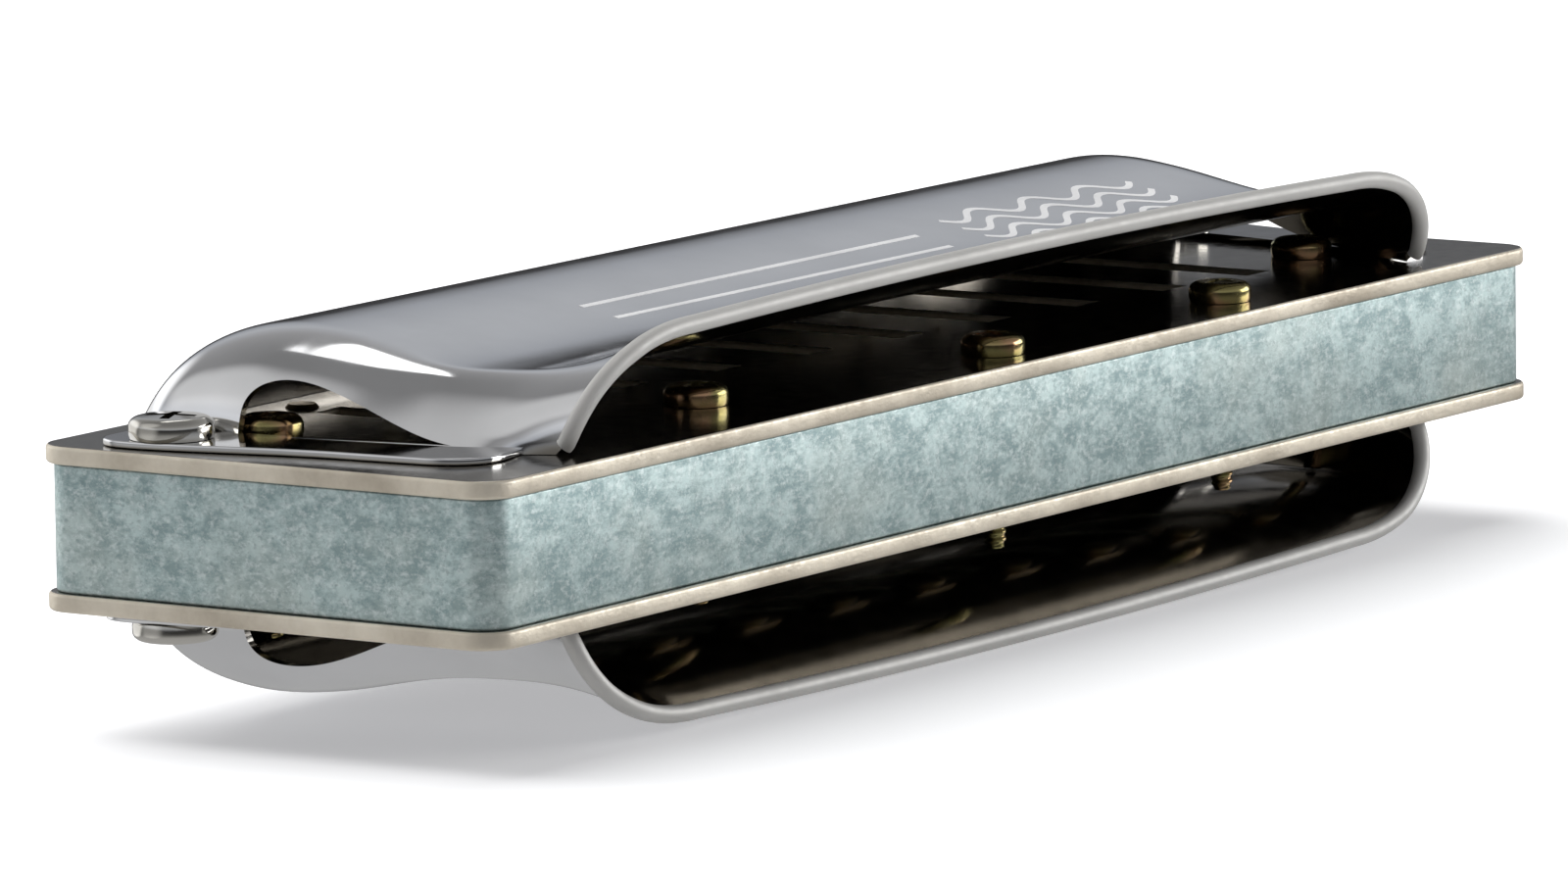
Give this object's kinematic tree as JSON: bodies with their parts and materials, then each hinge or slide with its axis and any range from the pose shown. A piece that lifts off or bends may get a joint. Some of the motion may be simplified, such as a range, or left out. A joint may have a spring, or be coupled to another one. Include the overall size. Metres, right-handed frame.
{
  "type": "harmonica",
  "caption": "Hand-held free-reed mouth organ: comb between two reed plates, under two open-backed chrome covers with rolled rear lips.",
  "frame": {"origin": "middle of the comb, which is the centre of the bounding box", "axes": "+X along the body towards the high-note end, -Y towards the mouthpiece, +Y towards the open rear of the covers, +Z towards the blow reed plate and top cover"},
  "size_m": [0.102, 0.0286, 0.0214],
  "materials": {
    "comb": "satin mottled blue-grey resin",
    "reed_plate": "nickel-plated, finely speckled satin",
    "reed": "satin reed bronze",
    "rivet": "satin brass",
    "plate_screw": "yellow zinc plated",
    "cover": "polished with a satin rolled lip",
    "cover_screw": "polished nickel"
  },
  "bodies": {
    "harmonica": {"comb": "comb", "blow_reed_plate": "reed_plate", "draw_reed_plate": "reed_plate", "blow_rivet_01": "rivet", "blow_rivet_02": "rivet", "blow_rivet_03": "rivet", "blow_rivet_04": "rivet", "blow_rivet_05": "rivet", "blow_rivet_06": "rivet", "blow_rivet_07": "rivet", "blow_rivet_08": "rivet", "blow_rivet_09": "rivet", "blow_rivet_10": "rivet", "draw_rivet_01": "rivet", "draw_rivet_02": "rivet", "draw_rivet_03": "rivet", "draw_rivet_04": "rivet", "draw_rivet_05": "rivet", "draw_rivet_06": "rivet", "draw_rivet_07": "rivet", "draw_rivet_08": "rivet", "draw_rivet_09": "rivet", "draw_rivet_10": "rivet", "plate_screw_1": "plate_screw", "plate_screw_2": "plate_screw", "plate_screw_3": "plate_screw", "plate_screw_4": "plate_screw", "plate_screw_5": "plate_screw", "top_cover": "cover", "bottom_cover": "cover", "cover_screw_low_end": "cover_screw", "cover_nut_low_end": "cover_screw", "cover_screw_high_end": "cover_screw", "cover_nut_high_end": "cover_screw"},
    "blow_reed_01": {"blow_reed_01": "reed"},
    "blow_reed_02": {"blow_reed_02": "reed"},
    "blow_reed_03": {"blow_reed_03": "reed"},
    "blow_reed_04": {"blow_reed_04": "reed"},
    "blow_reed_05": {"blow_reed_05": "reed"},
    "blow_reed_06": {"blow_reed_06": "reed"},
    "blow_reed_07": {"blow_reed_07": "reed"},
    "blow_reed_08": {"blow_reed_08": "reed"},
    "blow_reed_09": {"blow_reed_09": "reed"},
    "blow_reed_10": {"blow_reed_10": "reed"},
    "draw_reed_01": {"draw_reed_01": "reed"},
    "draw_reed_02": {"draw_reed_02": "reed"},
    "draw_reed_03": {"draw_reed_03": "reed"},
    "draw_reed_04": {"draw_reed_04": "reed"},
    "draw_reed_05": {"draw_reed_05": "reed"},
    "draw_reed_06": {"draw_reed_06": "reed"},
    "draw_reed_07": {"draw_reed_07": "reed"},
    "draw_reed_08": {"draw_reed_08": "reed"},
    "draw_reed_09": {"draw_reed_09": "reed"},
    "draw_reed_10": {"draw_reed_10": "reed"}
  },
  "joints": [
    {"name": "blow_reed_01_swing", "type": "hinge", "parent": "harmonica", "child": "blow_reed_01", "pos_m": [-0.03375, -0.0097, 0.0031], "axis": [1, 0, 0], "range_deg": [-2, 2], "stiffness_Nm_per_rad": 0.01},
    {"name": "blow_reed_02_swing", "type": "hinge", "parent": "harmonica", "child": "blow_reed_02", "pos_m": [-0.02625, -0.0097, 0.0031], "axis": [1, 0, 0], "range_deg": [-2, 2], "stiffness_Nm_per_rad": 0.01},
    {"name": "blow_reed_03_swing", "type": "hinge", "parent": "harmonica", "child": "blow_reed_03", "pos_m": [-0.01875, -0.0097, 0.0031], "axis": [1, 0, 0], "range_deg": [-2, 2], "stiffness_Nm_per_rad": 0.01},
    {"name": "blow_reed_04_swing", "type": "hinge", "parent": "harmonica", "child": "blow_reed_04", "pos_m": [-0.01125, -0.0097, 0.0031], "axis": [1, 0, 0], "range_deg": [-2, 2], "stiffness_Nm_per_rad": 0.01},
    {"name": "blow_reed_05_swing", "type": "hinge", "parent": "harmonica", "child": "blow_reed_05", "pos_m": [-0.00375, -0.0097, 0.0031], "axis": [1, 0, 0], "range_deg": [-2, 2], "stiffness_Nm_per_rad": 0.01},
    {"name": "blow_reed_06_swing", "type": "hinge", "parent": "harmonica", "child": "blow_reed_06", "pos_m": [0.00375, -0.0097, 0.0031], "axis": [1, 0, 0], "range_deg": [-2, 2], "stiffness_Nm_per_rad": 0.01},
    {"name": "blow_reed_07_swing", "type": "hinge", "parent": "harmonica", "child": "blow_reed_07", "pos_m": [0.01125, -0.0097, 0.0031], "axis": [1, 0, 0], "range_deg": [-2, 2], "stiffness_Nm_per_rad": 0.01},
    {"name": "blow_reed_08_swing", "type": "hinge", "parent": "harmonica", "child": "blow_reed_08", "pos_m": [0.01875, -0.0097, 0.0031], "axis": [1, 0, 0], "range_deg": [-2, 2], "stiffness_Nm_per_rad": 0.01},
    {"name": "blow_reed_09_swing", "type": "hinge", "parent": "harmonica", "child": "blow_reed_09", "pos_m": [0.02625, -0.0097, 0.0031], "axis": [1, 0, 0], "range_deg": [-2, 2], "stiffness_Nm_per_rad": 0.01},
    {"name": "blow_reed_10_swing", "type": "hinge", "parent": "harmonica", "child": "blow_reed_10", "pos_m": [0.03375, -0.0097, 0.0031], "axis": [1, 0, 0], "range_deg": [-2, 2], "stiffness_Nm_per_rad": 0.01},
    {"name": "draw_reed_01_swing", "type": "hinge", "parent": "harmonica", "child": "draw_reed_01", "pos_m": [-0.03375, 0.0082, -0.00445], "axis": [1, 0, 0], "range_deg": [-2, 2], "stiffness_Nm_per_rad": 0.01},
    {"name": "draw_reed_02_swing", "type": "hinge", "parent": "harmonica", "child": "draw_reed_02", "pos_m": [-0.02625, 0.00737, -0.00445], "axis": [1, 0, 0], "range_deg": [-2, 2], "stiffness_Nm_per_rad": 0.01},
    {"name": "draw_reed_03_swing", "type": "hinge", "parent": "harmonica", "child": "draw_reed_03", "pos_m": [-0.01875, 0.00654, -0.00445], "axis": [1, 0, 0], "range_deg": [-2, 2], "stiffness_Nm_per_rad": 0.01},
    {"name": "draw_reed_04_swing", "type": "hinge", "parent": "harmonica", "child": "draw_reed_04", "pos_m": [-0.01125, 0.00571, -0.00445], "axis": [1, 0, 0], "range_deg": [-2, 2], "stiffness_Nm_per_rad": 0.01},
    {"name": "draw_reed_05_swing", "type": "hinge", "parent": "harmonica", "child": "draw_reed_05", "pos_m": [-0.00375, 0.00488, -0.00445], "axis": [1, 0, 0], "range_deg": [-2, 2], "stiffness_Nm_per_rad": 0.01},
    {"name": "draw_reed_06_swing", "type": "hinge", "parent": "harmonica", "child": "draw_reed_06", "pos_m": [0.00375, 0.00405, -0.00445], "axis": [1, 0, 0], "range_deg": [-2, 2], "stiffness_Nm_per_rad": 0.01},
    {"name": "draw_reed_07_swing", "type": "hinge", "parent": "harmonica", "child": "draw_reed_07", "pos_m": [0.01125, 0.00322, -0.00445], "axis": [1, 0, 0], "range_deg": [-2, 2], "stiffness_Nm_per_rad": 0.01},
    {"name": "draw_reed_08_swing", "type": "hinge", "parent": "harmonica", "child": "draw_reed_08", "pos_m": [0.01875, 0.00239, -0.00445], "axis": [1, 0, 0], "range_deg": [-2, 2], "stiffness_Nm_per_rad": 0.01},
    {"name": "draw_reed_09_swing", "type": "hinge", "parent": "harmonica", "child": "draw_reed_09", "pos_m": [0.02625, 0.00156, -0.00445], "axis": [1, 0, 0], "range_deg": [-2, 2], "stiffness_Nm_per_rad": 0.01},
    {"name": "draw_reed_10_swing", "type": "hinge", "parent": "harmonica", "child": "draw_reed_10", "pos_m": [0.03375, 0.00073, -0.00445], "axis": [1, 0, 0], "range_deg": [-2, 2], "stiffness_Nm_per_rad": 0.01}
  ]
}
